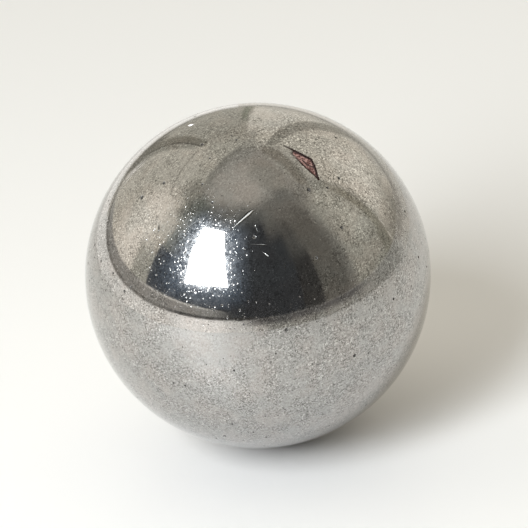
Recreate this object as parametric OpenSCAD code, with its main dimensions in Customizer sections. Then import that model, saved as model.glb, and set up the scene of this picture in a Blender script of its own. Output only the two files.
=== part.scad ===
// Steel ball: one solid, worn ball with a spall and a scatter of small pits.
//
// The origin is the ball's centre and +Z is up. A place on the surface is given as a
// longitude, counted from the front (-Y) towards the right (+X), and a latitude, counted
// up from the equator. Both are in degrees, so a mark keeps its place when the ball's
// diameter changes, and its own size stays as it is set.

/* [Ball] */
// Diameter of the ball, in mm
ball_d = 25; // [12:0.5:60]

/* [Spall] */
// Longitude of the spall's middle, in degrees
spall_lon = 41; // [-180:1:180]
// Latitude of the spall's middle, in degrees
spall_lat = 61; // [-89:1:89]
// Turn of the spall from the meridian, in degrees
spall_turn = 0; // [-90:1:90]
// Length of the spall from tip to tip, in mm
spall_len = 3.5; // [1:0.1:5]
// How far the full side bulges from the line between the tips, in mm
spall_full_side = 0.75; // [0.2:0.05:1.2]
// How far the flat side bulges from that line, in mm
spall_flat_side = 0.15; // [0.05:0.05:0.5]
// Depth of the spall's floor below the polished surface, in mm
spall_depth = 0.06; // [0.02:0.01:0.12]

/* [Pits] */
// Share of each pit's width that it goes down
pit_depth_share = 0.2; // [0.05:0.05:0.45]
// Share by which every pit is widened or narrowed
pit_scale = 1; // [0.5:0.05:1.5]

/* [Hidden] */

ball_r = ball_d / 2;
ball_fn = 180; // segments round the ball
pit_fn = 32; // segments round a pit

// The larger pits, each as [longitude, latitude, width in mm].
pits = [
    [32, 50.5, 0.36],
    [37, 35, 0.30],
    [52, 49, 0.28],
    [42, 48.5, 0.24],
    [84, 57.5, 0.28],
    [74, 25, 0.24],
    [48, 5.5, 0.24],
    [29, -7, 0.30],
    [-62, 48, 0.38],
    [-51.5, 73.5, 0.34],
    [-54, 55.5, 0.30],
    [-60, 21.5, 0.26],
    [-80, 24, 0.26],
    [-52, 18, 0.28],
];

// Moves a cutter that stands on the top pole to a place on the surface. Its +Y side then
// points to the pole along the meridian, and its +X side points to the east.
module at_place(lon, lat, turn = 0) {
    rotate([90 - lat, 0, lon]) rotate([0, 0, turn]) children();
}

// A disc that bulges by the given amount to the east of the line between the spall's tips.
// The radius follows from the chord and its bulge.
module spall_side(bulge) {
    side_r = (pow(spall_len / 2, 2) + pow(bulge, 2)) / (2 * bulge);
    translate([bulge - side_r, 0, 0]) cylinder(r = side_r, h = ball_r * 2, $fn = ball_fn);
}

// A flake of the hard skin that has come away: its outline is the lens between two arcs,
// and its floor runs parallel to the surface.
module spall_cutter() {
    at_place(spall_lon, spall_lat, spall_turn) difference() {
        intersection() {
            spall_side(spall_full_side);
            mirror([1, 0, 0]) spall_side(spall_flat_side);
        }
        sphere(r = ball_r - spall_depth, $fn = ball_fn);
    }
}

// A dished pit: a small sphere that passes through the pit's rim on the ball and through
// its lowest point.
module pit_cutter(width) {
    rim_z = sqrt(pow(ball_r, 2) - pow(width / 2, 2));
    floor_z = ball_r - width * pit_depth_share;
    dish = rim_z - floor_z;
    pit_r = (pow(width / 2, 2) + pow(dish, 2)) / (2 * dish);
    translate([0, 0, floor_z + pit_r]) sphere(r = pit_r, $fn = pit_fn);
}

module ball() {
    color([0.74, 0.73, 0.70]) difference() {
        sphere(d = ball_d, $fn = ball_fn);
        spall_cutter();
        for (pit = pits) at_place(pit[0], pit[1]) pit_cutter(pit[2] * pit_scale);
    }
}

ball();
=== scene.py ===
# %% [markdown]
# # A worn steel ball
#
# This lesson gives a plain steel ball the surface of a used one. The ball is one solid,
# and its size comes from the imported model. What it lacks is its history: a spall near the
# top, small rust pits, hairline scratches and a fine grey grain that dulls the polish.
#
# The steps are the camera, the places of the marks, a mesh that is fine only where a mark
# needs it, a geometry tree that cuts the marks, the steel, and at last the floor and the
# light. On polished steel the light is half of the look, because a mirror shows the room.

# %% The frame
import math

import bmesh
import bpy
import numpy as np
from mathutils import Matrix, Vector, noise
from mathutils.kdtree import KDTree


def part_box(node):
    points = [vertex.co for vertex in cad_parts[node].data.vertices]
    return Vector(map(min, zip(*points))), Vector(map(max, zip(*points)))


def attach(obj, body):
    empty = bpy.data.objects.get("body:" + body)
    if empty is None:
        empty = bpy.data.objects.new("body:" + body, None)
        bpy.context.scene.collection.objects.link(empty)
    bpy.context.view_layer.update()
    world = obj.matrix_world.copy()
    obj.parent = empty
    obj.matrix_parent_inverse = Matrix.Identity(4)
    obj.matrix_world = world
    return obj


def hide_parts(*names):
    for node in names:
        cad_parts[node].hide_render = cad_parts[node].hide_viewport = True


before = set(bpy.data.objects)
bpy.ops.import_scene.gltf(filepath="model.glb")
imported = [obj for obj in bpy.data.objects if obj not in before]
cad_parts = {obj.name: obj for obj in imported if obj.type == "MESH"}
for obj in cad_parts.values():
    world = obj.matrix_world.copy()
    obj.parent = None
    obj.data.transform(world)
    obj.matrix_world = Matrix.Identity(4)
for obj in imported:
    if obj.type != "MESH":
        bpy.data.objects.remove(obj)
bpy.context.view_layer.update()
MM = 0.001
LOW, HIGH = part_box("ball")
RADIUS = (HIGH.z - LOW.z) / 2
scene = bpy.context.scene
print("ball radius in mm:", round(RADIUS / MM, 3))

# %% [markdown]
# ## The camera
#
# The camera looks down on the ball from about 27 degrees, with a slight roll to its right.
# A long lens far away keeps the outline a true circle, as a close wide lens would not. The
# ball sits a little left of the middle and below it, so the camera aims past its centre
# instead of shifting its lens, which would follow it into every other view.

# %% Camera
CAMERA_ELEVATION = math.radians(27.4)
CAMERA_ROLL = math.radians(7.0)
CAMERA_DISTANCE = 20 * RADIUS
LENS_MM = 235.6
SENSOR_MM = 36.0
AIM_RIGHT = 0.035 * RADIUS
AIM_UP = 0.066 * RADIUS
NEAREST_SEEN = RADIUS
FARTHEST_SEEN = 400 * RADIUS


def camera_axes(elevation, roll):
    """The camera's right, up and back directions for a camera in front of the ball."""
    level_right = Vector((1, 0, 0))
    level_up = Vector((0, math.sin(elevation), math.cos(elevation)))
    back = Vector((0, -math.cos(elevation), math.sin(elevation)))
    right = level_right * math.cos(roll) - level_up * math.sin(roll)
    up = level_right * math.sin(roll) + level_up * math.cos(roll)
    return right, up, back


def make_camera():
    """A camera that frames the ball from the front and above."""
    right, up, back = camera_axes(CAMERA_ELEVATION, CAMERA_ROLL)
    data = bpy.data.cameras.new("front_camera")
    data.lens = LENS_MM
    data.sensor_width = SENSOR_MM
    data.clip_start = NEAREST_SEEN
    data.clip_end = FARTHEST_SEEN
    camera = bpy.data.objects.new("front_camera", data)
    scene.collection.objects.link(camera)
    turn = Matrix((right, up, back)).transposed().to_4x4()
    spot = back * CAMERA_DISTANCE + right * AIM_RIGHT + up * AIM_UP
    camera.matrix_world = Matrix.Translation(spot) @ turn
    return camera


scene.camera = make_camera()
print("camera at", [round(v, 3) for v in scene.camera.matrix_world.translation])

# %% [markdown]
# ## Nodes that read like sums
#
# The marks and the steel are worked out in node trees. Placing every Math node by hand
# hides the idea, so a socket is wrapped in a small class whose operators add the nodes. An
# expression such as `1 - depth * 2` then builds its own piece of tree. Every other node
# comes from one method, which takes the node's type, its settings and its sockets.

# %% Node helpers
class Number:
    """A number socket in a node tree that can be used in Python sums."""

    def __init__(self, tree, socket):
        self.tree = tree
        self.socket = socket

    def math(self, operation, *numbers):
        made = self.tree.node("ShaderNodeMath", {"operation": operation}, dict(enumerate(numbers)))
        return self.tree.number(made.outputs[0])

    def __add__(self, other):
        return self.math("ADD", self, other)

    def __radd__(self, other):
        return self.math("ADD", other, self)

    def __sub__(self, other):
        return self.math("SUBTRACT", self, other)

    def __rsub__(self, other):
        return self.math("SUBTRACT", other, self)

    def __mul__(self, other):
        return self.math("MULTIPLY", self, other)

    def __rmul__(self, other):
        return self.math("MULTIPLY", other, self)

    def __truediv__(self, other):
        return self.math("DIVIDE", self, other)

    def __pow__(self, other):
        return self.math("POWER", self, other)

    def larger(self, other):
        return self.math("MAXIMUM", self, other)

    def smaller(self, other):
        return self.math("MINIMUM", self, other)

    def rise(self, start, end):
        """0 below start, 1 above end and a smooth slope between them."""
        settings = {"interpolation_type": "SMOOTHSTEP"}
        made = self.tree.node("ShaderNodeMapRange", settings, {0: self, 1: start, 2: end})
        return self.tree.number(made.outputs[0])


class Tree:
    """A node tree with one method that adds any node."""

    def __init__(self, nodes):
        self.nodes = nodes

    def number(self, socket):
        return Number(self, socket)

    def feed(self, socket, value):
        if isinstance(value, Number):
            value = value.socket
        if isinstance(value, bpy.types.NodeSocket):
            self.nodes.links.new(value, socket)
        else:
            socket.default_value = value

    def node(self, kind, settings=None, sockets=None):
        made = self.nodes.nodes.new(kind)
        for name, value in (settings or {}).items():
            setattr(made, name, value)
        for key, value in (sockets or {}).items():
            self.feed(made.inputs[key], value)
        return made

    def vector(self, operation, *vectors):
        made = self.node("ShaderNodeVectorMath", {"operation": operation}, dict(enumerate(vectors)))
        return made.outputs[0]

    def scaled(self, vector, factor):
        settings = {"operation": "SCALE"}
        made = self.node("ShaderNodeVectorMath", settings, {0: vector, "Scale": factor})
        return made.outputs[0]

    def blend(self, factor, a, b):
        """Colour a where factor is 0 and colour b where it is 1."""
        made = self.node("ShaderNodeMix", {"data_type": "RGBA"}, {0: factor, 6: a, 7: b})
        return made.outputs[2]

    def noise(self, place, scale, detail=2.0, roughness=0.5, distortion=0.0):
        sockets = {
            "Vector": place,
            "Scale": scale,
            "Detail": detail,
            "Roughness": roughness,
            "Distortion": distortion,
        }
        return self.number(self.node("ShaderNodeTexNoise", None, sockets).outputs[0])

    def away(self, place, spot):
        """How far a place is from one spot."""
        made = self.node("ShaderNodeVectorMath", {"operation": "DISTANCE"}, {0: place, 1: spot})
        return self.number(made.outputs["Value"])

    def strokes(self, place, turn, size):
        """Noise drawn out to a size along three axes, after a turn of the axes."""
        sockets = {"Vector": place, "Rotation": turn, "Scale": size}
        drawn = self.node("ShaderNodeMapping", {"vector_type": "TEXTURE"}, sockets).outputs[0]
        return self.noise(drawn, 1.0, 1.0)

    def cells(self, place, scale):
        """The distance to the nearest of many random points, and three random numbers for it."""
        made = self.node("ShaderNodeTexVoronoi", None, {"Vector": place, "Scale": scale})
        chances = self.node("ShaderNodeSeparateColor", None, {0: made.outputs["Color"]}).outputs
        return self.number(made.outputs["Distance"]), [self.number(chances[i]) for i in range(3)]


# %% [markdown]
# ## The places of the marks
#
# A place on the ball is a longitude and a latitude. Longitude 0 is the front and grows
# towards the right, and latitude grows towards the top, as in the source of the solid. The
# fourteen larger pits are the ones that the solid has, so their numbers are the same. The
# scratches are under a quarter of a millimetre wide, so they are made only here. Each is an
# arc between two places, with its width, the share of its length where it bit most, and how
# bare it left the steel. An old scratch is full of dirt instead, and its number is below 0.

# %% Marks
# longitude, latitude, width in mm
PITS = [
    (32, 50.5, 0.36),
    (37, 35, 0.30),
    (52, 49, 0.28),
    (42, 48.5, 0.24),
    (84, 57.5, 0.28),
    (74, 25, 0.24),
    (48, 5.5, 0.24),
    (29, -7, 0.30),
    (-62, 48, 0.38),
    (-51.5, 73.5, 0.34),
    (-54, 55.5, 0.30),
    (-60, 21.5, 0.26),
    (-80, 24, 0.26),
    (-52, 18, 0.28),
]

# two ends as longitude and latitude, width in mm, where it is widest, how bare it is
SCRATCHES = [
    ((-9.5, 42.6), (2.2, 49.0), 0.20, 0.80, 1.0),
    ((-3.2, 37.9), (5.4, 36.8), 0.12, 0.8, 0.6),
    ((2.6, 35.1), (5.0, 33.0), 0.14, 0.85, 1.0),
    ((1.6, 43.5), (2.3, 41.1), 0.10, 0.6, 0.6),
    ((-83.7, 43.2), (-84.2, 51.8), 0.14, 0.7, 1.0),
    ((-84.2, 51.8), (-86.5, 59.2), 0.15, 0.2, 1.0),
    ((-43.6, 42.5), (-42.1, 39.9), 0.22, 0.5, -0.8),
    ((62, 44), (53, 37.5), 0.06, 0.5, -0.6),
]


def direction(longitude, latitude):
    """The unit vector from the centre to a place on the ball."""
    lon, lat = math.radians(longitude), math.radians(latitude)
    return Vector((math.sin(lon) * math.cos(lat), -math.cos(lon) * math.cos(lat), math.sin(lat)))


def arc_points(start, end, step):
    """Unit vectors along the great circle between two places, a step apart in radians."""
    a, b = direction(*start), direction(*end)
    angle = a.angle(b)
    count = max(3, round(angle / step) + 1)
    shares = [i / (count - 1) for i in range(count)]
    return [(a * math.sin((1 - s) * angle) + b * math.sin(s * angle)).normalized() for s in shares]


print("larger pits:", len(PITS), "scratches:", len(SCRATCHES))

# %% [markdown]
# ## The outline of the spall
#
# A spall is where a flake of the hard skin came off. Seen from above it is a sharp blade,
# two hollows that meet in a crease, with a hair crack that runs on from its north end.
# Every line of it is drawn flat, in millimetres to the east and north of its middle, and
# then laid on the ball. Drawing it from listed points keeps its sharp tips, which noise
# would blunt.

# %% Spall drawing
SPALL_PLACE = (41.0, 61.0)
# in mm: how far any of it lies from its middle, and how deep its floor is
SPALL_REACH = 2.3
SPALL_DEPTH = 0.06

# east and north of the spall's middle, in mm
SPALL_NORTH_TIP = (0.26, 0.98)
SPALL_SOUTH_TIP = (0.02, -1.85)
SPALL_EAST_SIDE = [(0.41, 0.55), (0.57, 0.12), (0.76, -0.25), (0.55, -0.85), (0.16, -1.55)]
SPALL_WEST_SIDE = [(-0.04, -1.37), (-0.10, -0.79), (-0.15, -0.18), (-0.13, 0.33), (-0.08, 0.86), (0.10, 0.95)]
SPALL_EAST_RIM = [SPALL_NORTH_TIP, *SPALL_EAST_SIDE, SPALL_SOUTH_TIP]
SPALL_WEST_RIM = [SPALL_SOUTH_TIP, *SPALL_WEST_SIDE, SPALL_NORTH_TIP]
SPALL_CREASE = [(0.17, 0.0), (0.17, -0.42), (0.27, -0.66), (0.47, -0.88)]
SPALL_CRACK = [(-0.02, 1.72), (0.16, 1.25), (0.28, 0.92), (0.41, 0.55), (0.57, 0.12), (0.72, -0.16)]
SPALL_FLOOR_LINE = [(0.2, 0.5), (0.2, -1.0)]

spall_centre = direction(*SPALL_PLACE)
spall_longitude = math.radians(SPALL_PLACE[0])
spall_east = Vector((math.cos(spall_longitude), math.sin(spall_longitude), 0))
spall_north = spall_centre.cross(spall_east)


def spall_spot(east, north):
    """The unit vector of a place in the spall's flat drawing."""
    flat = (spall_east * east + spall_north * north) * MM
    return (spall_centre * RADIUS + flat).normalized()


def along(line, step):
    """Points along a drawn line, a step apart or a little less."""
    points = [line[0]]
    for (x0, y0), (x1, y1) in zip(line, line[1:]):
        count = max(1, math.ceil(math.hypot(x1 - x0, y1 - y0) / step))
        for i in range(1, count + 1):
            points.append((x0 + (x1 - x0) * i / count, y0 + (y1 - y0) * i / count))
    return points


spall_outline = SPALL_EAST_RIM + SPALL_WEST_RIM[1:-1]
print("spall outline corners:", len(spall_outline))

# %% [markdown]
# ## A scatter of small pits
#
# Between the larger pits lie many small ones. They follow a rule, which is chance, so a
# geometry tree scatters them: it spreads points over a rough ball and gives each a random
# width. The seed is fixed, so the ball has the same pits every time. The tree ends in
# Realize Instances and Set Material, as each tree here does, and its result is read as
# plain vertices with a width each.

# %% Running a tree
def tree_inputs(group, sockets):
    """Adds named inputs to a geometry tree and returns each one's identifier by name."""
    made = {}
    for name, kind in sockets.items():
        made[name] = group.interface.new_socket(name=name, in_out="INPUT", socket_type=kind).identifier
    return made


def run_tree(piece, group, values):
    """Runs a geometry tree on a piece and returns the result as a plain mesh."""
    modifier = piece.modifiers.new(group.name, "NODES")
    modifier.node_group = group
    for identifier, value in values.items():
        modifier[identifier] = value
    piece.update_tag()
    bpy.context.view_layer.update()
    graph = bpy.context.evaluated_depsgraph_get()
    mesh = bpy.data.meshes.new_from_object(piece.evaluated_get(graph), depsgraph=graph)
    piece.modifiers.remove(modifier)
    return mesh


def add_piece(name, mesh):
    """An object of this mesh, at the origin."""
    piece = bpy.data.objects.new(name, mesh)
    scene.collection.objects.link(piece)
    return piece


def drop(piece):
    """Removes a helper object and its mesh."""
    mesh = piece.data
    bpy.data.objects.remove(piece)
    bpy.data.meshes.remove(mesh)


# %% Small pits
SMALL_PIT_COUNT = 130
SMALL_PIT_WIDTHS = (0.13 * MM, 0.27 * MM)
SMALL_PIT_SEED = 11
# above 1 there are more narrow pits than wide ones
SMALL_PIT_RARITY = 2.5
# how far a small pit's centre stays from any other pit's
PIT_SPACING = 0.5 * MM


def scatter_tree(material):
    """A tree that turns a rough ball into one vertex for each small pit."""
    group = bpy.data.node_groups.new("small_pit_scatter", "GeometryNodeTree")
    names = {
        "Ball": "NodeSocketGeometry",
        "Density": "NodeSocketFloat",
        "Narrowest": "NodeSocketFloat",
        "Widest": "NodeSocketFloat",
        "Seed": "NodeSocketInt",
    }
    inputs = tree_inputs(group, names)
    group.interface.new_socket(name="Pits", in_out="OUTPUT", socket_type="NodeSocketGeometry")
    tree = Tree(group)
    given = tree.node("NodeGroupInput").outputs
    sockets = {"Mesh": given["Ball"], "Density": given["Density"], "Seed": given["Seed"]}
    points = tree.node("GeometryNodeDistributePointsOnFaces", None, sockets).outputs["Points"]
    chance = tree.node("FunctionNodeRandomValue", {"data_type": "FLOAT"}, {"Seed": given["Seed"]})
    narrowest, widest = tree.number(given["Narrowest"]), tree.number(given["Widest"])
    width = narrowest + (widest - narrowest) * tree.number(chance.outputs["Value"]) ** SMALL_PIT_RARITY
    marker = tree.node("GeometryNodeMeshLine", None, {"Count": 1}).outputs["Mesh"]
    placed = tree.node("GeometryNodeInstanceOnPoints", None, {"Points": points, "Instance": marker})
    stored = tree.node(
        "GeometryNodeStoreNamedAttribute",
        {"data_type": "FLOAT", "domain": "INSTANCE"},
        {"Geometry": placed.outputs["Instances"], "Name": "width", "Value": width},
    )
    real = tree.node("GeometryNodeRealizeInstances", None, {"Geometry": stored.outputs["Geometry"]})
    sockets = {"Geometry": real.outputs["Geometry"], "Material": material}
    dressed = tree.node("GeometryNodeSetMaterial", None, sockets)
    tree.node("NodeGroupOutput", None, {"Pits": dressed.outputs["Geometry"]})
    return group, inputs


def rough_ball():
    """A rough icosphere of the ball's radius to scatter points on."""
    mesh = bpy.data.meshes.new("rough_ball")
    bm = bmesh.new()
    bmesh.ops.create_icosphere(bm, subdivisions=5, radius=RADIUS)
    bm.to_mesh(mesh)
    bm.free()
    return add_piece("rough_ball", mesh)


def scatter_small_pits(material):
    """Places and widths of the small pits, away from the larger marks."""
    group, inputs = scatter_tree(material)
    blank = rough_ball()
    area = 4 * math.pi * RADIUS**2
    values = {
        inputs["Density"]: SMALL_PIT_COUNT / area,
        inputs["Narrowest"]: SMALL_PIT_WIDTHS[0],
        inputs["Widest"]: SMALL_PIT_WIDTHS[1],
        inputs["Seed"]: SMALL_PIT_SEED,
    }
    mesh = run_tree(blank, group, values)
    widths = mesh.attributes["width"].data
    found = [(v.co.normalized(), widths[v.index].value) for v in mesh.vertices]
    drop(blank)
    bpy.data.meshes.remove(mesh)
    clear = PIT_SPACING / RADIUS
    kept = []
    for spot, width in sorted(found, key=lambda pit: -pit[1]):
        apart = all((spot - other).length > clear for other, _ in kept)
        off_pits = all((spot - direction(lon, lat)).length > clear for lon, lat, _ in PITS)
        off_spall = (spot - spall_centre).length > SPALL_REACH * MM / RADIUS
        if apart and off_pits and off_spall:
            kept.append((spot, width))
    return kept


worn_steel = bpy.data.materials.new("worn_steel")
all_pits = [(direction(lon, lat), width * MM) for lon, lat, width in PITS]
all_pits += scatter_small_pits(worn_steel)
print("pits in all:", len(all_pits), "narrowest mm:", round(min(w for _, w in all_pits) / MM, 3))

# %% [markdown]
# ## A mesh that is fine where it has to be
#
# A pit a fifth of a millimetre wide needs edges of a few hundredths. A ball that fine all
# over would have millions of faces, so the mesh starts coarse, and every edge that is too
# long for its place is split in half. How long an edge may be grows with its distance from
# the nearest mark. New corners are pushed out to the sphere, so the ball stays round.

# %% Refined blank
COARSE_SUBDIVISIONS = 6
EDGE_GROWTH = 0.9
REFINE_ROUNDS = 8
EDGES_ACROSS_PIT = 7
SCRATCH_EDGE = 0.024 * MM
SPALL_LINE_EDGE = 0.028 * MM
SPALL_FLOOR_EDGE = 0.04 * MM


def fine_places():
    """Where the mesh has to be fine: a direction, how far the fine part reaches and the edge there."""
    places = [(spot, 0.6 * width, width / EDGES_ACROSS_PIT) for spot, width in all_pits]
    for start, end, width, _, _ in SCRATCHES:
        for spot in arc_points(start, end, 0.05 * MM / RADIUS):
            places.append((spot, 0.7 * width * MM, SCRATCH_EDGE))
    for line in (SPALL_EAST_RIM, SPALL_WEST_RIM, SPALL_CREASE, SPALL_CRACK):
        for east, north in along(line, 0.08):
            places.append((spall_spot(east, north), 0.10 * MM, SPALL_LINE_EDGE))
    for east, north in along(SPALL_FLOOR_LINE, 0.1):
        places.append((spall_spot(east, north), 0.3 * MM, SPALL_FLOOR_EDGE))
    return places


def place_finder(places):
    """A search tree over the fine places."""
    finder = KDTree(len(places))
    for index, (spot, _, _) in enumerate(places):
        finder.insert(spot * RADIUS, index)
    finder.balance()
    return finder


def refined_blank():
    """A closed ball of triangles whose edges are short near the marks."""
    places = fine_places()
    finder = place_finder(places)
    bm = bmesh.new()
    bmesh.ops.create_icosphere(bm, subdivisions=COARSE_SUBDIVISIONS, radius=RADIUS)
    for _ in range(REFINE_ROUNDS):
        bm.verts.index_update()
        limits = []
        for vertex in bm.verts:
            _, index, away = finder.find(vertex.co)
            _, reach, shortest = places[index]
            limits.append(shortest + EDGE_GROWTH * max(away - reach, 0))
        long_edges = [e for e in bm.edges if e.calc_length() > min(limits[v.index] for v in e.verts)]
        if not long_edges:
            break
        bmesh.ops.subdivide_edges(bm, edges=long_edges, cuts=1, use_single_edge=True)
        bmesh.ops.triangulate(bm, faces=[f for f in bm.faces if len(f.verts) > 3])
        for vertex in bm.verts:
            vertex.co = vertex.co.normalized() * RADIUS
    mesh = bpy.data.meshes.new("ball_skin")
    bm.to_mesh(mesh)
    bm.free()
    return add_piece("ball_skin", mesh)


ball_skin = refined_blank()
print("triangles in the blank:", len(ball_skin.data.polygons))

# %% [markdown]
# ## Cutting pits and scratches
#
# The marks could be cut with booleans, but a cut leaves hard rims and thin triangles that
# spoil a mirror. Here a geometry tree moves each corner in or out instead. For a pit it
# asks for the nearest pit's centre and width, and for a scratch the distance to the
# nearest line. It also stores how deep each corner lies in a mark as an attribute, so the
# steel can hold dirt in a pit and in an old scratch, be bare in a scratch, and carry painted
# shade on a bare scratch's burr.

# %% Guides
# below 1 a scratch is nearly as wide along its whole length as where it bit most
SCRATCH_FULLNESS = 0.7


def guide(name, points, edges, numbers):
    """A helper object of points or lines, with named numbers at each point."""
    mesh = bpy.data.meshes.new(name)
    mesh.from_pydata(points, edges, [])
    for label, values in numbers.items():
        mesh.attributes.new(label, "FLOAT", "POINT").data.foreach_set("value", values)
    return add_piece(name, mesh)


def pit_guide():
    """One vertex at each pit's centre, with its width."""
    spots = [spot * RADIUS for spot, _ in all_pits]
    return guide("pit_guide", spots, [], {"width": [width for _, width in all_pits]})


def scratch_guide():
    """A line of edges along each scratch, widest where it bit most and thin at both ends."""
    points, edges, widths, bites = [], [], [], []
    for start, end, width, widest_at, bite in SCRATCHES:
        spots = arc_points(start, end, 0.04 * MM / RADIUS)
        first, last = len(points), len(spots) - 1
        points += [spot * RADIUS for spot in spots]
        edges += [(first + i, first + i + 1) for i in range(last)]
        for i in range(last + 1):
            share = i / last
            swell = share / widest_at if share < widest_at else (1 - share) / (1 - widest_at)
            full = swell**SCRATCH_FULLNESS
            widths.append(width * MM * (0.25 + 0.75 * full))
            bites.append(bite * (0.2 + 0.8 * full))
    return guide("scratch_guide", points, edges, {"width": widths, "bite": bites})


# %% Wear tree
# each depth is a share of the mark's own width
PIT_DEPTH_SHARE = 0.2
SCRATCH_DEPTH_SHARE = 0.06
BURR_HEIGHT_SHARE = 0.2
PIT_RAGGEDNESS = 1.1


def nearest_value(tree, guide_mesh, place, label):
    """A named number of the guide's vertex nearest to each corner."""
    sockets = {0: guide_mesh, 1: place}
    index = tree.node("GeometryNodeSampleNearest", {"domain": "POINT"}, sockets).outputs[0]
    named = tree.node("GeometryNodeInputNamedAttribute", {"data_type": "FLOAT"}, {"Name": label})
    settings = {"data_type": "FLOAT", "domain": "POINT"}
    sockets = {"Geometry": guide_mesh, "Value": named.outputs["Attribute"], "Index": index}
    found = tree.node("GeometryNodeSampleIndex", settings, sockets)
    return tree.number(found.outputs["Value"])


def distance_to(tree, guide_mesh, place, kind):
    """How far each corner is from the guide's vertices or edges."""
    sockets = {0: guide_mesh, "Sample Position": place}
    near = tree.node("GeometryNodeProximity", {"target_element": kind}, sockets)
    return tree.number(near.outputs["Distance"])


def pit_cut(tree, pits, place, depth):
    """How deep each corner lies in a pit, from 0 to 1, and how far it moves out."""
    width = nearest_value(tree, pits, place, "width")
    ragged = tree.noise(tree.scaled(place, 1 / MM), 7.0, 1.0) - 0.5
    from_middle = distance_to(tree, pits, place, "POINTS") / (width * 0.5) + ragged * PIT_RAGGEDNESS
    bowl = 1 - from_middle.smaller(1.0) ** 2.0
    return bowl, width * depth * -1.0 * (bowl * bowl)


def scratch_cut(tree, lines, place, depth):
    """How bare a scratch leaves each corner, how dark it is, as painted shade on the burr of a bare scratch
    and dirt in an old scratch's groove, and how far it moves out.
    """
    width = nearest_value(tree, lines, place, "width")
    bite = nearest_value(tree, lines, place, "bite")
    from_line = distance_to(tree, lines, place, "EDGES") / (width * 0.5)
    groove = 1 - from_line.rise(0.0, 1.0)
    burr = from_line.rise(0.8, 1.1) * (1 - from_line.rise(1.4, 1.9))
    bare = groove * bite.larger(0.0)
    # the burr beside a bare scratch is painted dark as shade, and an old scratch's groove is dark with dirt
    burr_shade_and_dirt = burr * bite.larger(0.0) + groove * (0 - bite).larger(0.0)
    return bare, burr_shade_and_dirt, width * depth * (burr * BURR_HEIGHT_SHARE - groove)


def wear_tree(material):
    """A tree that cuts pits and scratches into the ball's skin."""
    group = bpy.data.node_groups.new("ball_wear", "GeometryNodeTree")
    names = {
        "Skin": "NodeSocketGeometry",
        "Pits": "NodeSocketObject",
        "Scratches": "NodeSocketObject",
        "Pit depth": "NodeSocketFloat",
        "Scratch depth": "NodeSocketFloat",
    }
    inputs = tree_inputs(group, names)
    group.interface.new_socket(name="Worn skin", in_out="OUTPUT", socket_type="NodeSocketGeometry")
    tree = Tree(group)
    given = tree.node("NodeGroupInput").outputs
    place = tree.node("GeometryNodeInputPosition").outputs[0]
    pits = tree.node("GeometryNodeObjectInfo", None, {"Object": given["Pits"]}).outputs["Geometry"]
    lines = tree.node("GeometryNodeObjectInfo", None, {"Object": given["Scratches"]}).outputs["Geometry"]
    bowl, pit_height = pit_cut(tree, pits, place, tree.number(given["Pit depth"]))
    bare, burr_shade_and_dirt, line_height = scratch_cut(tree, lines, place, tree.number(given["Scratch depth"]))
    outward = tree.scaled(tree.vector("NORMALIZE", place), pit_height + line_height)
    sockets = {"Geometry": given["Skin"], "Offset": outward}
    moved = tree.node("GeometryNodeSetPosition", None, sockets).outputs["Geometry"]
    for name, value in (("pit", bowl), ("scratch", bare), ("scratch_dirt", burr_shade_and_dirt)):
        settings = {"data_type": "FLOAT", "domain": "POINT"}
        sockets = {"Geometry": moved, "Name": name, "Value": value}
        moved = tree.node("GeometryNodeStoreNamedAttribute", settings, sockets).outputs["Geometry"]
    smooth = tree.node("GeometryNodeSetShadeSmooth", None, {"Geometry": moved}).outputs["Geometry"]
    real = tree.node("GeometryNodeRealizeInstances", None, {"Geometry": smooth}).outputs["Geometry"]
    sockets = {"Geometry": real, "Material": material}
    dressed = tree.node("GeometryNodeSetMaterial", None, sockets).outputs["Geometry"]
    tree.node("NodeGroupOutput", None, {"Worn skin": dressed})
    return group, inputs


# %% Pitted ball
def cut_marks(skin, material):
    """Runs the wear tree on the skin and keeps its result as the skin's own mesh."""
    pits, scratches = pit_guide(), scratch_guide()
    group, inputs = wear_tree(material)
    values = {
        inputs["Pits"]: pits,
        inputs["Scratches"]: scratches,
        inputs["Pit depth"]: PIT_DEPTH_SHARE,
        inputs["Scratch depth"]: SCRATCH_DEPTH_SHARE,
    }
    blank = skin.data
    skin.data = run_tree(skin, group, values)
    bpy.data.meshes.remove(blank)
    drop(pits)
    drop(scratches)


def depth_range(skin):
    """The deepest mark and the highest rim on the skin, in mm."""
    places = np.empty(3 * len(skin.data.vertices))
    skin.data.vertices.foreach_get("co", places)
    heights = np.linalg.norm(places.reshape(-1, 3), axis=1) - RADIUS
    return round(-heights.min() / MM, 4), round(heights.max() / MM, 4)


cut_marks(ball_skin, worn_steel)
print("deepest mark and highest rim in mm:", depth_range(ball_skin))

# %% [markdown]
# ## Carving the spall
#
# There is one spall, so plain mesh code carves it. For each corner near it, the code lays
# the corner into the flat drawing, measures how far inside the outline it lies, and sinks
# it by the depth of the broken floor. The distance to the outline, the crease and the crack
# gives the dark lines, which are painted shade in the spall's walls, crease and crack, over
# rust. Small noise roughens the floor and frays the west side, which is not as crisp as the
# east side. Two attributes carry what the steel needs to know.

# %% Lines and outlines
def line_distance(points, line):
    """The distance of each flat point from a drawn line."""
    nearest = np.full(len(points), np.inf)
    for start, end in zip(line, line[1:]):
        a, b = np.array(start), np.array(end)
        share = np.clip((points - a) @ (b - a) / ((b - a) @ (b - a)), 0, 1)
        gap = np.linalg.norm(points - a - share[:, None] * (b - a), axis=1)
        nearest = np.minimum(nearest, gap)
    return nearest


def is_inside(points, outline):
    """True for each flat point inside a closed outline."""
    inside = np.zeros(len(points), bool)
    x, y = points[:, 0], points[:, 1]
    for (x0, y0), (x1, y1) in zip(outline, outline[1:] + outline[:1]):
        if y0 == y1:
            continue
        crossed = (y0 > y) != (y1 > y)
        inside ^= crossed & (x < (x1 - x0) * (y - y0) / (y1 - y0) + x0)
    return inside


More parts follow.
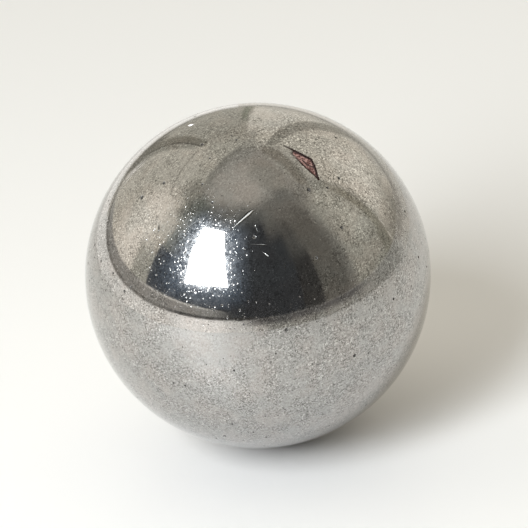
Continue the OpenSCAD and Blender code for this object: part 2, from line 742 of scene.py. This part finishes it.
def smooth_rise(values, start, end):
    """0 below start, 1 above end and a smooth slope between them."""
    share = np.clip((values - start) / (end - start), 0, 1)
    return share * share * (3 - 2 * share)


# %% Spall
# in mm: how wide the wall round its floor is, and how far from a line its painted shade and rust reach
SPALL_WALL = 0.05
RIM_DARK = (0.05, 0.11)
CREASE_DARK = (0.045, 0.10)
CRACK_DARK = (0.05, 0.105)


def flat_noise(flat, per_mm, shift):
    """Noise at each flat place. Another shift gives other noise."""
    return np.array([noise.noise(Vector((x * per_mm, y * per_mm, shift))) for x, y in flat])


def spall_masks(flat):
    """For flat places: 1 on the spall's floor, 1 on its dark lines of painted shade and rust, and how far it
    sinks in mm.
    """
    rough = flat_noise(flat, 7, 3.1)
    fine = flat_noise(flat, 16, 8.4)
    gap = line_distance(flat, spall_outline + spall_outline[:1])
    depth_in = np.where(is_inside(flat, spall_outline), gap, -gap)
    nearer_west = line_distance(flat, SPALL_EAST_RIM) - line_distance(flat, SPALL_WEST_RIM)
    west = smooth_rise(nearer_west, -0.05, 0.05)
    depth_in += rough * (0.02 + 0.05 * west) + fine * 0.015
    floor = smooth_rise(depth_in, -0.01, SPALL_WALL)
    crease = 1 - smooth_rise(line_distance(flat, SPALL_CREASE) + fine * 0.02, *CREASE_DARK)
    thin = 0.6 + 0.4 * smooth_rise(-flat[:, 1], -1.7, -1.0)
    crack = (1 - smooth_rise(line_distance(flat, SPALL_CRACK) + fine * 0.012, *CRACK_DARK)) * thin
    inner, outer = RIM_DARK
    rim = smooth_rise(depth_in, -outer, -inner) * (1 - smooth_rise(depth_in, inner, outer))
    fade_west = 1 - west * smooth_rise(flat[:, 1], -0.3, 0.5) * 0.4
    # the dark lines are painted shade in the walls, the crease and the crack, over rust
    dark = np.clip(rim * fade_west + crease * floor * 0.9 + crack, 0, 1)
    sink = SPALL_DEPTH * (floor * (0.8 + 0.5 * rough) + crease * floor * 0.25 + crack * 0.3)
    return floor, dark, sink


def carve_spall(skin):
    """Sinks the spall's floor into the skin and stores its masks."""
    mesh = skin.data
    places = np.empty(3 * len(mesh.vertices))
    mesh.vertices.foreach_get("co", places)
    places = places.reshape(-1, 3)
    units = places / np.linalg.norm(places, axis=1)[:, None]
    near = np.nonzero(units @ np.array(spall_centre) > math.cos(SPALL_REACH * MM / RADIUS))[0]
    flat = np.stack([units[near] @ np.array(spall_east), units[near] @ np.array(spall_north)], axis=1)
    flat *= RADIUS / MM
    floor, dark, sink = spall_masks(flat)
    places[near] -= units[near] * sink[:, None] * MM
    mesh.vertices.foreach_set("co", places.ravel())
    mesh.update()
    for name, mask in (("spall", floor), ("spall_line", dark)):
        values = np.zeros(len(mesh.vertices), dtype=np.float32)
        values[near] = mask
        mesh.attributes.new(name, "FLOAT", "POINT").data.foreach_set("value", values)
    return len(near)


print("corners in and round the spall:", carve_spall(ball_skin))
print("deepest mark and highest rim in mm:", depth_range(ball_skin))

# %% [markdown]
# ## Worn steel
#
# The steel is one metal with several layers of wear over it. The bare metal is smooth
# enough to mirror. Over it lie a fine grey grain of stained specks, short dark and pale
# strokes, and round pinpricks full of dirt. The grain is heavy in some patches and calm in
# others, and heavier round the spall, where the skin was shaken. Near the front an oily
# smudge with a wiped streak fogs the polish, and shallow dents throw back sparks of the
# window. Each layer is noise in Object coordinates, in millimetres, so it sits on the ball
# like the real thing and never slides.
# Painted shade darkens the spall's walls, crease and crack and the burr beside a bare scratch, and the rust
# carries painted highlights.

# %% Steel colours
STEEL = (0.472, 0.446, 0.424, 1)
STEEL_COOL = (0.448, 0.440, 0.425, 1)
GRAIN_STAIN = (0.11, 0.105, 0.095, 1)
# dirt in pinpricks, and also the painted shade on a bare scratch's burr
DIRT_AND_BURR_SHADE = (0.06, 0.052, 0.042, 1)
PIT_DIRT = (0.035, 0.03, 0.025, 1)
BARE_STEEL = (0.92, 0.91, 0.88, 1)
# dark rust, and also the painted shade in the spall's walls, crease and crack
DARK_RUST_AND_SHADE = (0.022, 0.006, 0.005, 1)
RUST_RED = (0.125, 0.046, 0.040, 1)
# a painted highlight on the pale patches of the rust
PAINTED_RUST_HIGHLIGHT = (0.50, 0.30, 0.265, 1)

# %% Wear helpers
# the smallest dent's radius, as a share of the widest one's
SMALLEST_DENT = 0.35


def dents(tree, place, scale, widest, share):
    """Round dents: how deep each place lies in one, the dent's radius in mm and a random number."""
    away, chances = tree.cells(place, scale)
    radius = (SMALLEST_DENT + (1 - SMALLEST_DENT) * chances[0]) * widest
    there = chances[1].rise(1 - share, 1 - share + 0.02)
    inside = (1 - (away / radius) ** 2.0).larger(0.0)
    return inside * there, radius / scale, chances[2]


def rare(chance):
    """Turns an even chance from 0 to 1 into a number that is mostly small and now and then large."""
    least = chance.larger(0.02)
    return 0 - least.math("LOGARITHM", least, math.e)


def most(numbers):
    """The largest of several numbers."""
    largest = numbers[0]
    for number in numbers[1:]:
        largest = largest.larger(number)
    return largest


# %% Wear
# a second set of noise, unlike the first, is the same noise this far aside
ASIDE = (31.7, 12.3, 47.9)
STORED_MARKS = ("pit", "scratch", "scratch_dirt", "spall", "spall_line")


class Wear:
    """Where each kind of wear lies on the steel, as numbers that the colour and the polish share."""

    def __init__(self, tree):
        place = tree.node("ShaderNodeTexCoord").outputs["Object"]
        self.tree = tree
        self.here = tree.scaled(place, 1 / MM)
        self.aside = tree.vector("ADD", self.here, ASIDE)
        for name in STORED_MARKS:
            made = tree.node("ShaderNodeAttribute", {"attribute_name": name})
            setattr(self, name, tree.number(made.outputs["Fac"]))
        self.bare = self.scratch.rise(0.12, 0.75)


# %% Patches
# longitude and latitude, then how far in mm it is full and how far it reaches
SMUDGE = ((-26.5, 37.8), 2.75, 5.75)
WIPE = ((-27.5, 40.5), 0.95, 2.28)
CALM_PATCHES = [((6, 57), 1.9, 4.56), ((-18, 11), 1.8, 4.32), ((19, 39), 1.55, 3.72)]
SHAKEN_REACH = (2.0, 8.0)
CALM_SHARE = 0.65


def patch_mask(wear, spot, full, reach):
    """1 within the full distance of a spot on the ball and 0 beyond its reach."""
    return wear.tree.away(wear.here, spot * (RADIUS / MM)).rise(reach, full)


def add_patches(wear):
    """The smudge, the wiped streak, and the calm and heavy patches of grain."""
    smudge, wipe, *calm = [
        patch_mask(wear, direction(*spot), full, reach) for spot, full, reach in (SMUDGE, WIPE, *CALM_PATCHES)
    ]
    uneven = wear.tree.noise(wear.aside, 1.3, 3.0, 0.65).rise(0.36, 0.60)
    wear.smudge = smudge * (0.4 + 0.6 * uneven)
    wear.wipe = wipe
    wear.calm = most(calm)
    wear.grain = 1 - wear.calm * CALM_SHARE
    heavy = wear.tree.noise(wear.here, 0.75, 3.0, 0.6).rise(0.36, 0.58)
    shaken = patch_mask(wear, spall_centre, *SHAKEN_REACH)
    wear.patch = (heavy * 0.75 + shaken * 0.55) * wear.grain


# %% Grain
SPECKS_PER_MM = 15.0
# in mm: along a stroke and across it
STROKE_SIZE = (0.34, 0.11, 0.11)
STROKE_TURNS = [(0.0, 0.0, 0.6), (0.9, 0.3, 2.2), (1.8, 0.7, 4.0), (0.4, 1.2, 5.2)]


def add_grain(wear):
    """Specks, short strokes and slow changes in the grain."""
    tree = wear.tree
    _, chances = tree.cells(wear.here, SPECKS_PER_MM)
    wear.specks = chances[0] ** 2.0
    wear.coarse = tree.noise(wear.aside, 3.2, 2.0, 0.6)
    wear.haze = tree.noise(wear.here, 0.2, 3.0, 0.55).rise(0.38, 0.68)
    wear.smear = tree.noise(wear.aside, 1.6, 3.0, 0.6).rise(0.40, 0.62)
    wear.strokes = [tree.strokes(wear.here, turn, STROKE_SIZE) for turn in STROKE_TURNS]
    wear.dark_strokes = most([stroke.rise(0.35, 0.30) for stroke in wear.strokes])
    wear.pale_strokes = most([stroke.rise(0.65, 0.70) for stroke in wear.strokes])


# %% Pinpricks and dents
def add_dents(wear):
    """Pinpricks full of dirt, and clean dents of two sizes, most of them in the smudge."""
    tree = wear.tree
    wear.pins, _, chance = dents(tree, wear.here, 4.0, 0.22, 0.5)
    wear.pin_dirt = wear.pins.rise(0.02, 0.35) * chance.rise(0.2, 0.8)
    wear.small_dents = dents(tree, wear.aside, 5.5, 0.38, 0.35 + 0.65 * wear.smudge)
    share = 0.10 + 0.75 * wear.smudge + 0.15 * wear.wipe
    wear.large_dents = dents(tree, wear.aside, 3.4, 0.30, share)


# %% Steel colour
def rust_colour(wear):
    """Red rust with dark strokes and patches of painted highlight in it."""
    # the pale patches are painted highlights
    pale = wear.strokes[0].larger(wear.strokes[1]).rise(0.50, 0.66)
    rust = wear.tree.blend(pale, RUST_RED, PAINTED_RUST_HIGHLIGHT)
    return wear.tree.blend(wear.dark_strokes * 0.6, rust, DARK_RUST_AND_SHADE)


def steel_colour(wear):
    """The colour of the steel: each layer covers a share of those before it."""
    tree, grain, patch = wear.tree, wear.grain, wear.patch
    drift = tree.noise(wear.aside, 0.5, 3.0).rise(0.38, 0.62)
    colour = tree.blend(drift, STEEL, STEEL_COOL)
    layers = [
        (wear.pale_strokes * (0.24 * grain + 0.58 * patch), BARE_STEEL),
        (wear.calm * 0.10, GRAIN_STAIN),
        ((wear.specks * (0.33 * grain + 0.50 * patch)).smaller(1.0), GRAIN_STAIN),
        (wear.dark_strokes * (0.32 * grain + 0.66 * patch), GRAIN_STAIN),
        (wear.coarse.rise(0.42, 0.30) * 0.08, GRAIN_STAIN),
        (wear.pin_dirt * 0.95, DIRT_AND_BURR_SHADE),
        (wear.pit.rise(0.15, 0.6) * 0.95, PIT_DIRT),
        # painted shade on a bare scratch's burr, and dirt in an old scratch's groove
        (wear.scratch_dirt.rise(0.0, 0.6) * 0.9, DIRT_AND_BURR_SHADE),
        (wear.bare, BARE_STEEL),
        (wear.spall, rust_colour(wear)),
        # painted shade in the spall's walls, crease and crack, over rust
        (wear.spall_line, DARK_RUST_AND_SHADE),
    ]
    for share, layer in layers:
        colour = tree.blend(share, colour, layer)
    return colour


# %% Steel polish
DENT_STEEPNESS = 0.05
COAT_ROUGHNESS = 0.26
COAT_IOR = 2.3
COAT_TINT = (0.97, 0.985, 1.0, 1)


def steel_roughness(wear):
    """Nearly a mirror, but dull in dirt, rust and scratches."""
    dull = wear.pin_dirt * 0.3 + wear.pit * 0.5 + wear.spall * 0.42 + wear.spall_line * 0.3
    return 0.045 + wear.haze * 0.015 + wear.smear * 0.02 + dull.smaller(0.6) + wear.bare * 0.42


def steel_metal(wear):
    """1 on clean steel, and near 0 where rust or dirt covers it."""
    dirty_pit = wear.pit.rise(0.1, 0.5)
    return (1 - wear.spall * 0.85 - wear.spall_line * 0.15 - dirty_pit * 0.8).larger(0.0)


def steel_relief(wear):
    """Small dents and pinpricks, as a bump. Only a few dents are steep."""
    steepness = DENT_STEEPNESS * (1 + 1.6 * wear.smudge + 0.8 * wear.wipe)
    height = wear.coarse * 0.0006
    for inside, radius, chance in (wear.small_dents, wear.large_dents):
        height = height - inside * (radius * steepness * rare(chance))
    sockets = {"Strength": 1.0, "Distance": MM, "Height": height - wear.pins * 0.003}
    return wear.tree.node("ShaderNodeBump", None, sockets).outputs["Normal"]


def oily_film(wear):
    """How thick the film of oil is: thin all over, thick in the smudge, none in a mark."""
    tree = wear.tree
    mottle = tree.noise(wear.here, 2.6, 3.0, 0.6).rise(0.44, 0.60)
    speckle = tree.noise(wear.here, 8.0, 1.0).rise(0.46, 0.62)
    film = 0.09 + 0.11 * wear.smear + wear.smudge * (0.03 + 0.40 * mottle + 0.36 * speckle)
    film = film + wear.wipe * 0.8 * wear.strokes[0].larger(wear.strokes[2]).rise(0.50, 0.66)
    return film * (1 - wear.pit.rise(0.1, 0.5)) * (1 - wear.spall.larger(wear.spall_line))


# %% Steel
def dress_steel(material):
    """Builds the worn steel from Object coordinates and the depths stored on the skin."""
    material.use_nodes = True
    material.node_tree.nodes.clear()
    tree = Tree(material.node_tree)
    wear = Wear(tree)
    add_patches(wear)
    add_grain(wear)
    add_dents(wear)
    sockets = {
        "Base Color": steel_colour(wear),
        "Metallic": steel_metal(wear),
        "Roughness": steel_roughness(wear),
        "Normal": steel_relief(wear),
        "Coat Weight": oily_film(wear),
        "Coat Roughness": COAT_ROUGHNESS,
        "Coat IOR": COAT_IOR,
        "Coat Tint": COAT_TINT,
    }
    steel = tree.node("ShaderNodeBsdfPrincipled", None, sockets).outputs[0]
    tree.node("ShaderNodeOutputMaterial", None, {"Surface": steel})


dress_steel(worn_steel)
ball_skin.data.materials.clear()
ball_skin.data.materials.append(worn_steel)
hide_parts("ball")
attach(ball_skin, "root")
print("steel nodes:", len(worn_steel.node_tree.nodes))

# %% [markdown]
# ## The floor
#
# A polished ball shows all that stands round it, so what it stands on and the room belong
# to its finish. The floor is a plain pale disc with a soft gloss. Near the horizon it
# mirrors what stands behind it, and the ball shows that in turn.

# %% Floor
FLOOR_RADIUS = 0.1
FLOOR_PAINT = (0.915, 0.902, 0.889, 1)
FLOOR_ROUGHNESS = 0.45


def make_floor():
    """A plain pale disc that the ball stands on."""
    mesh = bpy.data.meshes.new("floor")
    bm = bmesh.new()
    bmesh.ops.create_circle(bm, cap_ends=True, segments=96, radius=FLOOR_RADIUS)
    bmesh.ops.translate(bm, verts=bm.verts, vec=(0, 0, LOW.z))
    bm.to_mesh(mesh)
    bm.free()
    floor = add_piece("floor", mesh)
    material = bpy.data.materials.new("pale_floor")
    material.use_nodes = True
    material.node_tree.nodes.clear()
    tree = Tree(material.node_tree)
    sockets = {"Base Color": FLOOR_PAINT, "Roughness": FLOOR_ROUGHNESS}
    paint = tree.node("ShaderNodeBsdfPrincipled", None, sockets).outputs[0]
    tree.node("ShaderNodeOutputMaterial", None, {"Surface": paint})
    mesh.materials.append(material)
    return floor


make_floor()
print("floor radius in mm:", round(FLOOR_RADIUS / MM))

# %% [markdown]
# ## The window and the lamp
#
# The main light is one tall soft window at the front left that leans back a little. In the
# ball it is the bright spot with four corners, so it is placed by the directions in which
# its foot and its head stand, and how far off they are. The window alone leaves the table
# at the left grey, so a low lamp lights it. The lamp isn't mirrored, or the ball would show
# a second spot.

# %% Key light
# azimuth, elevation and how far away level, in metres
KEY_FOOT = (-36.0, 20.6, 0.19)
KEY_HEAD = (-43.0, 54.8, 0.256)
KEY_WIDTH = 0.103
KEY_RADIANCE = 15.4
KEY_COLOUR = (0.92, 0.965, 1.0)


def make_key():
    """A tall soft window at the front left that leans back, from the places of its two ends."""
    ends = []
    for azimuth, elevation, away in (KEY_FOOT, KEY_HEAD):
        height = Vector((0, 0, math.tan(math.radians(elevation))))
        ends.append((direction(azimuth, 0) + height) * away)
    foot, head = ends
    upward = (head - foot).normalized()
    toward = direction((KEY_FOOT[0] + KEY_HEAD[0]) / 2, 0)
    sideways = upward.cross(toward).normalized()
    data = bpy.data.lights.new("key_window", "AREA")
    data.shape = "RECTANGLE"
    data.size = KEY_WIDTH
    data.size_y = (head - foot).length
    data.energy = KEY_RADIANCE * math.pi * data.size * data.size_y
    data.color = KEY_COLOUR
    key = bpy.data.objects.new("key_window", data)
    scene.collection.objects.link(key)
    key.location = (foot + head) / 2
    key.rotation_mode = "QUATERNION"
    axes = Matrix((sideways, upward, sideways.cross(upward))).transposed()
    key.rotation_quaternion = axes.to_quaternion()
    return key


key_window = make_key()
print("window foot to head in mm:", round(key_window.data.size_y / MM))

# %% Table lamp
# azimuth, how far away level and how high over the floor, in metres
LAMP_PLACE = (-46, 0.084, 0.044)
LAMP_WIDTH = 0.03
LAMP_POWER = 0.0135


def make_lamp():
    """A low lamp at the left that brightens the table there and isn't mirrored itself."""
    azimuth, away, height = LAMP_PLACE
    data = bpy.data.lights.new("table_lamp", "AREA")
    data.shape = "DISK"
    data.size = LAMP_WIDTH
    data.energy = LAMP_POWER
    lamp = bpy.data.objects.new("table_lamp", data)
    scene.collection.objects.link(lamp)
    lamp.location = direction(azimuth, 0) * away + Vector((0, 0, LOW.z + height))
    lamp.visible_glossy = False
    lamp.visible_camera = False
    return lamp


make_lamp()

# %% [markdown]
# ## The room
#
# Polished steel is as bright as what it mirrors. The room could be built from boards, but
# a world of soft panels renders faster and is easier to tune. Each panel fills the sky
# between two azimuths and two elevations, and later panels lie over earlier ones. Together
# they are pale walls with posts and a beam, a grey ceiling, a dark screen behind the
# camera, and a table just under the horizon. Where the camera looks past the ball it sees
# plain white.
#
# A panel's numbers are its azimuths, its elevations, how soft its sides, foot and head are,
# and its light. A last number is the azimuth that a flat wall faces from, so that its foot
# and head run straight along the wall.

# %% Panels
ROOM_LIGHT = 1.18
DEGREES = 180 / math.pi
BACKDROP = (1, 1, 1, 1)
CEILING_EDGE = (0.41, 0.395, 0.35, 1)
CEILING_TOP = (0.60, 0.57, 0.51, 1)
PANELS = [
    # ceiling
    ((70, 168), (68, 83), 30, 2, 14, (0.45, 0.425, 0.37)),
    ((-25, 78), (50, 74), 24, 1, 14, (0.21, 0.21, 0.19)),
    ((24, 82), (52, 70), 24, 8, 14, (0.28, 0.27, 0.24)),
    # left wall
    ((-200, -150), (-4, 58), 12, 1, 12, (0.61, 0.58, 0.50)),
    ((-190, -70), (66.0, 70.0), 10, 2.5, 2.5, (0.37, 0.355, 0.31), -130),
    ((-190, -70), (-4, 66.2), 6, 1, 2.5, (0.67, 0.64, 0.55), -130),
    ((-158, -70), (-4, 58), 4, 1, 16, (0.74, 0.70, 0.605)),
    ((-122, -92), (3, 46), 24, 1, 24, (1.13, 1.07, 0.955)),
    ((-154, -113), (46.4, 47.4), 4, 0.5, 0.5, (0.44, 0.41, 0.35), -132),
    ((-118, -84), (54, 64), 18, 10, 3, (0.40, 0.385, 0.33)),
    ((-97, -70), (-4, 24), 6, 1, 10, (0.56, 0.55, 0.48)),
    ((-155, -149.5), (3, 12.5), 2.5, 3, 3, (0.84, 0.80, 0.74)),
    ((-202, -162.4), (-4, 46), 2, 1, 8, (0.56, 0.535, 0.46)),
    ((-158, -154), (-4, 40), 3, 1, 8, (0.47, 0.45, 0.385)),
    ((-162.8, -157.8), (-4, 43), 1.5, 1, 4, (0.34, 0.32, 0.265)),
    ((-158.4, -157.4), (-4, 43), 0.5, 1, 2, (0.16, 0.15, 0.125)),
    ((-200, -164), (-4, 6), 3, 1, 6, (0.48, 0.46, 0.395)),
    ((-165.5, -154.6), (-4, 6), 2, 1, 6, (0.27, 0.255, 0.215)),
    ((-169.6, -168.9), (8.4, 10.3), 0.3, 0.5, 0.5, (7.0, 7.0, 7.0)),
    # right wall
    ((107.5, 172), (-4, 56), 6, 1, 18, (0.845, 0.795, 0.685)),
    ((110, 144), (12, 34), 14, 10, 14, (1.02, 0.96, 0.84)),
    ((98, 162), (58.5, 65), 3, 1.5, 1.5, (0.37, 0.345, 0.29), 130),
    ((102, 158), (65.6, 67.0), 8, 0.8, 0.8, (0.55, 0.53, 0.46), 130),
    ((98, 136), (-4, 7), 16, 1, 18, (0.385, 0.365, 0.31)),
    ((172, 200), (-4, 58), 10, 1, 12, (0.61, 0.58, 0.50)),
    ((163, 177), (-4, 40), 1.5, 1, 12, (0.89, 0.85, 0.75)),
    ((142, 178), (-4, 5), 8, 1, 10, (0.66, 0.625, 0.55)),
    ((177, 202), (-4, 46), 1.5, 1, 8, (0.53, 0.505, 0.43)),
    ((177.4, 179), (-4, 25), 0.8, 1, 8, (0.36, 0.36, 0.29)),
    ((156.2, 162.6), (-4, 57), 1.8, 1, 4, (0.47, 0.445, 0.38)),
    ((67, 107.5), (-4, 53), 10, 1, 20, (0.52, 0.50, 0.43)),
    ((80, 99), (16, 52), 14, 14, 14, (0.68, 0.66, 0.57)),
    ((70, 107), (-4, 2), 10, 1, 9, (0.42, 0.41, 0.35)),
    ((100.2, 106.4), (-4, 44), 3, 1, 24, (0.44, 0.415, 0.335)),
    ((97, 106.3), (-4, 12), 4, 1, 8, (0.34, 0.325, 0.265)),
    ((106.3, 107.2), (0, 4), 0.6, 2, 2, (0.85, 0.81, 0.72)),
    ((106.5, 107.4), (7, 12), 0.6, 2, 2, (0.95, 0.91, 0.81)),
    ((106.9, 107.8), (20, 22), 0.6, 1, 1, (1.25, 1.20, 1.07)),
    # dark screen behind the camera
    ((20, 66), (-4, 60), 16, 1, 24, (0.185, 0.177, 0.155)),
    ((14, 40), (-4, 56), 10, 1, 20, (0.125, 0.122, 0.112)),
    ((26, 41.5), (-4, 34), 1.5, 1, 10, (0.065, 0.063, 0.06)),
    ((-81.5, 28), (-4, 31), 1.5, 1, 2.5, (0.055, 0.058, 0.062)),
    ((-68, 28), (20, 50), 8, 1, 12, (0.06, 0.064, 0.068)),
    ((-68, 15), (30, 64), 10, 1, 14, (0.055, 0.058, 0.062)),
    ((-81.5, -20), (6, 31), 1.5, 1, 2.5, (0.078, 0.089, 0.106)),
    ((-92, -58), (48, 66), 16, 8, 8, (0.19, 0.20, 0.17)),
    ((-80, -60), (30.5, 47), 4, 2.5, 8, (0.27, 0.285, 0.25)),
    ((-64, -16), (56, 72), 28, 4, 14, (0.20, 0.20, 0.18)),
    ((-70, -12), (12, 60), 20, 14, 14, (0.11, 0.145, 0.195)),
    # table
    ((-145, -26), (-4, 7.4), 20, 1, 0.7, (0.42, 0.405, 0.375), -75),
    ((-84, -32), (6.2, 7.4), 22, 0.6, 0.5, (0.90, 0.88, 0.82), -75),
    ((-210, 210), (-92, -1), 2, 1, 1, (1.03, 1.01, 0.96)),
    ((-100, -70), (-92, -1), 30, 1, 1, (1.15, 1.12, 1.06)),
    ((-58, -25), (-92, -1), 16, 1, 1, (1.46, 1.41, 1.35)),
    ((-2, 116), (-92, -1), 24, 1, 1, (0.44, 0.43, 0.39)),
    ((-10, 70), (-5, -1), 22, 5, 1, (0.16, 0.155, 0.15)),
    ((114, 176), (-92, -1), 16, 1, 1, (0.66, 0.635, 0.57)),
    ((166, 210), (-92, -1), 8, 1, 1, (0.82, 0.79, 0.72)),
    ((114, 210), (-4.5, -1), 16, 4, 1, (0.44, 0.42, 0.37)),
    ((-210, -157), (-4.5, -1), 6, 4, 1, (0.66, 0.635, 0.575)),
    ((-176, -20), (-1.2, 0.5), 12, 1, 0.8, (0.24, 0.225, 0.20)),
    ((-160, -142), (-3, -0.6), 4, 1, 0.8, (0.50, 0.48, 0.42)),
    ((-64, -6), (-0.9, 0.8), 14, 0.8, 0.6, (0.06, 0.056, 0.05)),
    ((-168, -155), (-2, 1.2), 5, 1, 1, (0.25, 0.235, 0.20)),
]
print("panels:", len(PANELS))

# %% World
def soft_panel(azimuth, elevation, sides, ends, edge, foot, head):
    """1 inside a panel of the sky and 0 outside it, with soft edges."""
    left = azimuth.rise(sides[0] - edge / 2, sides[0] + edge / 2)
    right = azimuth.rise(sides[1] - edge / 2, sides[1] + edge / 2)
    bottom = elevation.rise(ends[0] - foot / 2, ends[0] + foot / 2)
    top = elevation.rise(ends[1] - head / 2, ends[1] + head / 2)
    return (left - right) * (bottom - top)


def along_wall(azimuth, elevation, facing):
    """The elevation at the wall's middle of the level line that a direction lies on."""
    turn = (azimuth - facing) / DEGREES
    slant = elevation / DEGREES
    rise = slant.math("SINE", slant) / slant.math("COSINE", slant)
    return rise.math("ARCTANGENT", rise / turn.math("COSINE", turn).larger(0.05)) * DEGREES


def make_world():
    """Soft panels round the ball, and plain white where the camera looks past it."""
    world = bpy.data.worlds.new("soft_panels")
    world.use_nodes = True
    world.node_tree.nodes.clear()
    tree = Tree(world.node_tree)
    way = tree.node("ShaderNodeTexCoord").outputs["Generated"]
    parts = tree.node("ShaderNodeSeparateXYZ", None, {0: way}).outputs
    x, y, z = (tree.number(parts[i]) for i in range(3))
    azimuth = x.math("ARCTAN2", x, 0 - y) * DEGREES
    elevation = z.math("ARCSINE", z) * DEGREES
    colour = tree.blend(elevation.rise(58, 84), CEILING_EDGE, CEILING_TOP)
    for sides, ends, edge, foot, head, light, *facing in PANELS:
        height = along_wall(azimuth, elevation, facing[0]) if facing else elevation
        share = soft_panel(azimuth, height, sides, ends, edge, foot, head)
        colour = tree.blend(share, colour, (*light, 1))
    sockets = {"Color": colour, "Strength": ROOM_LIGHT}
    room = tree.node("ShaderNodeBackground", None, sockets).outputs[0]
    backdrop = tree.node("ShaderNodeBackground", None, {"Color": BACKDROP}).outputs[0]
    seen = tree.node("ShaderNodeLightPath").outputs["Is Camera Ray"]
    both = tree.node("ShaderNodeMixShader", None, {0: seen, 1: room, 2: backdrop}).outputs[0]
    tree.node("ShaderNodeOutputWorld", None, {"Surface": both})
    scene.world = world


make_world()
scene.view_settings.view_transform = "Standard"
print("room nodes:", len(scene.world.node_tree.nodes))
